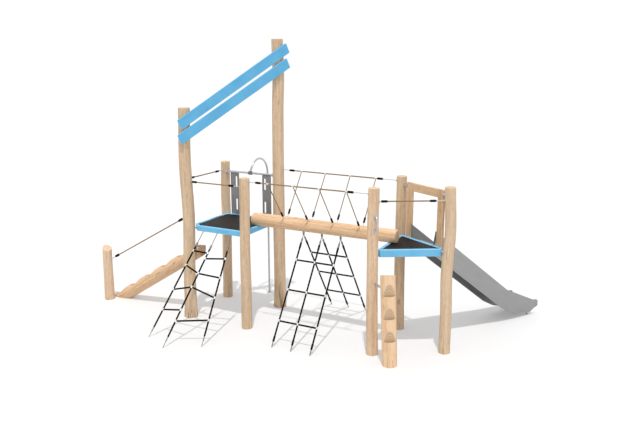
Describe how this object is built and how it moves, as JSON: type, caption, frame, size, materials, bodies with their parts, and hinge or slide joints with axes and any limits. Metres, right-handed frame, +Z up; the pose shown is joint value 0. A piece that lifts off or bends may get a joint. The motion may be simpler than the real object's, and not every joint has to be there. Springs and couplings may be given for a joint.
{
  "type": "wooden climbing frame",
  "caption": "Climbing frame of round timber posts: a square tower with slanted roof boards and a slide tower, joined by a balance log with rope rails, nets, a ramp log and a fire pole",
  "frame": {"origin": "middle of the frame's footprint, on the ground", "axes": "+X along the balance log from the square tower to the slide tower, +Z up, +Y to the fire pole's side"},
  "size_m": [6.7354, 4.0275, 4.315],
  "materials": {
    "post_timber": "debarked, sanded round timber, oiled",
    "log_timber": "planed pale timber, oiled",
    "blue_board": "light blue through-coloured board, fine texture",
    "deck_mat": "dark anti-slip deck",
    "steel": "satin stainless steel",
    "beige_rope": "laid rope over a steel core",
    "black_rope": "laid rope over a steel core",
    "sleeve": "moulded black sleeve",
    "net_clamp": "pressed aluminium ferrule",
    "grey_panel": "grey laminate board",
    "slide_steel": "brushed stainless sheet"
  },
  "bodies": {
    "root": {"roof_post_low": "post_timber", "roof_post_high": "post_timber", "square_tower_post_rear": "post_timber", "square_tower_post_front": "post_timber", "slide_tower_post_front": "post_timber", "slide_tower_post_rear": "post_timber", "slide_tower_post_side": "post_timber", "ramp_post": "post_timber", "balance_log": "log_timber", "ramp_log": "log_timber", "step_post": "log_timber", "portal_post_left": "log_timber", "portal_post_right": "log_timber", "portal_beam": "log_timber", "square_deck_rim": "blue_board", "triangle_deck_rim": "blue_board", "roof_board_upper": "blue_board", "roof_board_lower": "blue_board", "square_deck_board": "deck_mat", "triangle_deck_board": "deck_mat", "square_deck_spacers": "steel", "triangle_deck_spacers": "steel", "rope_end_rods": "steel", "tie_end_eyes": "steel", "ramp_log_spacer": "steel", "step_post_spacer": "steel", "pole_bar": "steel", "pole_bar_flanges": "steel", "fire_pole": "steel", "grab_handle": "steel", "front_net_cables": "steel", "front_net_anchors": "steel", "bridge_net_shackles": "steel", "bridge_net_anchors": "steel", "portal_spacers": "steel", "slide_foot": "steel", "rail_rope_front": "beige_rope", "rail_rope_rear": "beige_rope", "guard_rope_left": "beige_rope", "guard_rope_front": "beige_rope", "guard_rope_slide_tower": "beige_rope", "ramp_rope": "beige_rope", "tie_ropes": "beige_rope", "front_net_strands": "black_rope", "front_net_rungs": "black_rope", "bridge_net_strands": "black_rope", "bridge_net_rungs": "black_rope", "rope_sleeves": "sleeve", "tie_sleeves": "sleeve", "front_net_clamps": "net_clamp", "bridge_net_clamps": "net_clamp", "tie_clamps": "net_clamp", "side_panel_left": "grey_panel", "side_panel_right": "grey_panel", "fire_pole_clamp": "grey_panel", "slide_bed": "slide_steel", "slide_side_left": "slide_steel", "slide_side_right": "slide_steel"}
  },
  "joints": []
}
